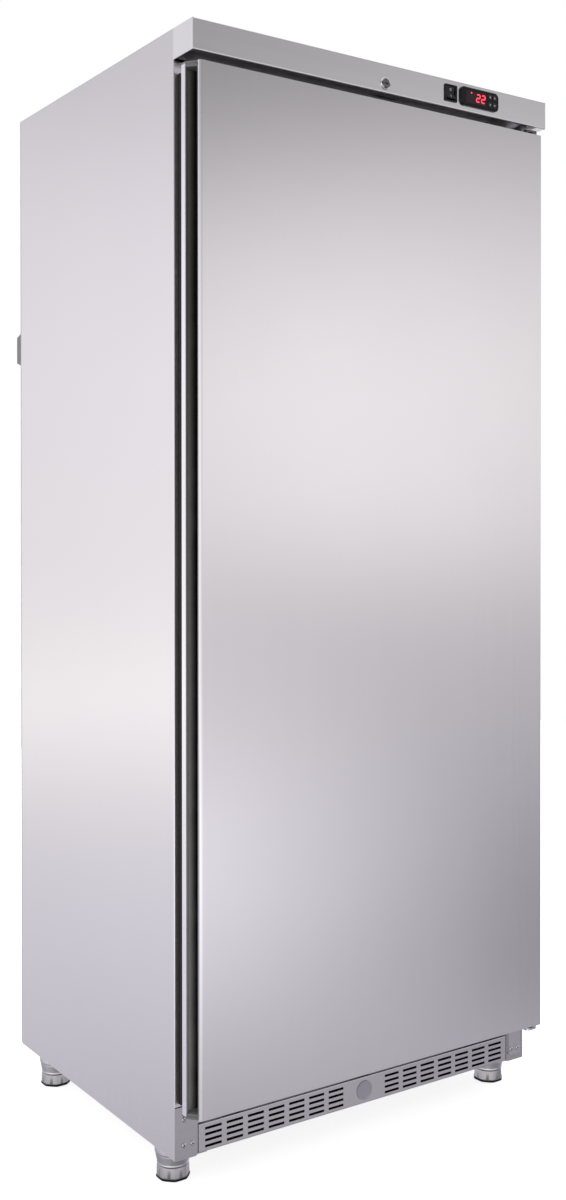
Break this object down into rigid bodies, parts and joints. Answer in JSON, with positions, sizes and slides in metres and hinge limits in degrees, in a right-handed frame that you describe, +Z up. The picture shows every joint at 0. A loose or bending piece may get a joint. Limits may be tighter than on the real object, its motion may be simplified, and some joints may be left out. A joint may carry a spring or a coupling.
{
  "type": "upright freezer",
  "caption": "Tall stainless upright freezer with one full-height door with a grip channel on its left, a control fascia with lock, switch and temperature display, and a slotted kick grille.",
  "frame": {"origin": "on the floor under the middle of the box round the freezer, from the controller buttons in front to the rear spacers", "axes": "+Z up, the door faces -Y, +X towards the hinge side"},
  "size_m": [0.777, 0.7002, 1.895],
  "materials": {
    "stainless": "brushed stainless sheet",
    "stainless_door": "brushed stainless sheet, vertical grain",
    "galvanised": "zinc-coated sheet",
    "white_plastic": "moulded white plastic",
    "foam": "rigid insulating foam",
    "black_plastic": "fine-grained moulded plastic",
    "dark_plastic": "dark extruded plastic",
    "grey_plastic": "moulded grey plastic",
    "gasket_rubber": "soft magnetic seal",
    "zinc_steel": "zinc-plated steel",
    "chrome": "polished",
    "display": "dark red display window",
    "shelf_paint": "white epoxy coat",
    "black_paint": "black stove enamel",
    "aluminium": "bare",
    "black_rubber": "moulded rubber"
  },
  "bodies": {
    "cabinet": {"back_panel": "galvanised", "base_rails": "galvanised", "bottom_pan": "galvanised", "breaker_trim": "white_plastic", "cabinet_foam": "foam", "compressor": "black_paint", "compressor_mounts": "black_rubber", "condenser": "aluminium", "controller_case": "black_plastic", "corner_plates": "stainless", "display_window": "display", "evaporator_risers": "shelf_paint", "fan_motor": "black_paint", "fan_shroud": "galvanised", "fascia_ends": "stainless", "fascia_panel": "stainless_door", "foot_sleeves": "grey_plastic", "grille_cap": "grey_plastic", "hinge_pins": "zinc_steel", "hinge_plate_bottom": "zinc_steel", "hinge_plate_top": "zinc_steel", "kick_grille": "stainless_door", "liner": "white_plastic", "lock_body": "chrome", "machine_plate": "galvanised", "rear_cover": "galvanised", "rear_spacers": "black_plastic", "screws": "zinc_steel", "shelf_1": "shelf_paint", "shelf_2": "shelf_paint", "shelf_3": "shelf_paint", "shelf_4": "shelf_paint", "shelf_5": "shelf_paint", "shelf_6": "shelf_paint", "shelf_bearers": "zinc_steel", "side_panel_left": "stainless", "side_panel_right": "stainless", "switch_case": "black_plastic", "terminal_cover": "black_plastic", "top_panel": "stainless"},
    "door": {"door_skin": "stainless_door", "door_foam": "foam", "door_inner_panel": "white_plastic", "gasket": "gasket_rubber", "door_edge_strip": "stainless", "grip_channel": "dark_plastic", "grip_caps": "grey_plastic", "hinge_bushes": "grey_plastic"},
    "lock_barrel": {"lock_plug": "chrome", "lock_cam": "zinc_steel"},
    "rocker": {"switch_rocker": "black_plastic"},
    "fan": {"fan_blades": "aluminium"},
    "set_button": {"button_set": "grey_plastic"},
    "defrost_button": {"button_defrost": "grey_plastic"},
    "up_button": {"button_up": "grey_plastic"},
    "down_button": {"button_down": "grey_plastic"},
    "front_left_foot": {"foot_front_left": "grey_plastic"},
    "front_right_foot": {"foot_front_right": "grey_plastic"},
    "rear_left_foot": {"foot_rear_left": "grey_plastic"},
    "rear_right_foot": {"foot_rear_right": "grey_plastic"}
  },
  "joints": [
    {"name": "door_hinge", "type": "hinge", "parent": "cabinet", "child": "door", "pos_m": [0.3605, -0.32585, 0.98], "axis": [0, 0, 1], "range_deg": [0, 110]},
    {"name": "lock_turn", "type": "hinge", "parent": "cabinet", "child": "lock_barrel", "pos_m": [0, -0.33485, 1.8598], "axis": [0, 1, 0], "range_deg": [0, 90]},
    {"name": "rocker_tilt", "type": "hinge", "parent": "cabinet", "child": "rocker", "pos_m": [0.1502, -0.33935, 1.8704], "axis": [1, 0, 0], "range_deg": [0, 16]},
    {"name": "fan_spin", "type": "hinge", "parent": "cabinet", "child": "fan", "pos_m": [0.155, 0.15915, 0.143], "axis": [0, 1, 0], "continuous": true},
    {"name": "set_press", "type": "slide", "parent": "cabinet", "child": "set_button", "axis": [0, 1, 0], "range_m": [0, 0.0008], "stiffness_N_per_m": 400},
    {"name": "defrost_press", "type": "slide", "parent": "cabinet", "child": "defrost_button", "axis": [0, 1, 0], "range_m": [0, 0.0008], "stiffness_N_per_m": 400},
    {"name": "up_press", "type": "slide", "parent": "cabinet", "child": "up_button", "axis": [0, 1, 0], "range_m": [0, 0.0008], "stiffness_N_per_m": 400},
    {"name": "down_press", "type": "slide", "parent": "cabinet", "child": "down_button", "axis": [0, 1, 0], "range_m": [0, 0.0008], "stiffness_N_per_m": 400},
    {"name": "front_left_foot_height", "type": "slide", "parent": "cabinet", "child": "front_left_foot", "axis": [0, 0, -1], "range_m": [0, 0.015]},
    {"name": "front_right_foot_height", "type": "slide", "parent": "cabinet", "child": "front_right_foot", "axis": [0, 0, -1], "range_m": [0, 0.015]},
    {"name": "rear_left_foot_height", "type": "slide", "parent": "cabinet", "child": "rear_left_foot", "axis": [0, 0, -1], "range_m": [0, 0.015]},
    {"name": "rear_right_foot_height", "type": "slide", "parent": "cabinet", "child": "rear_right_foot", "axis": [0, 0, -1], "range_m": [0, 0.015]}
  ]
}
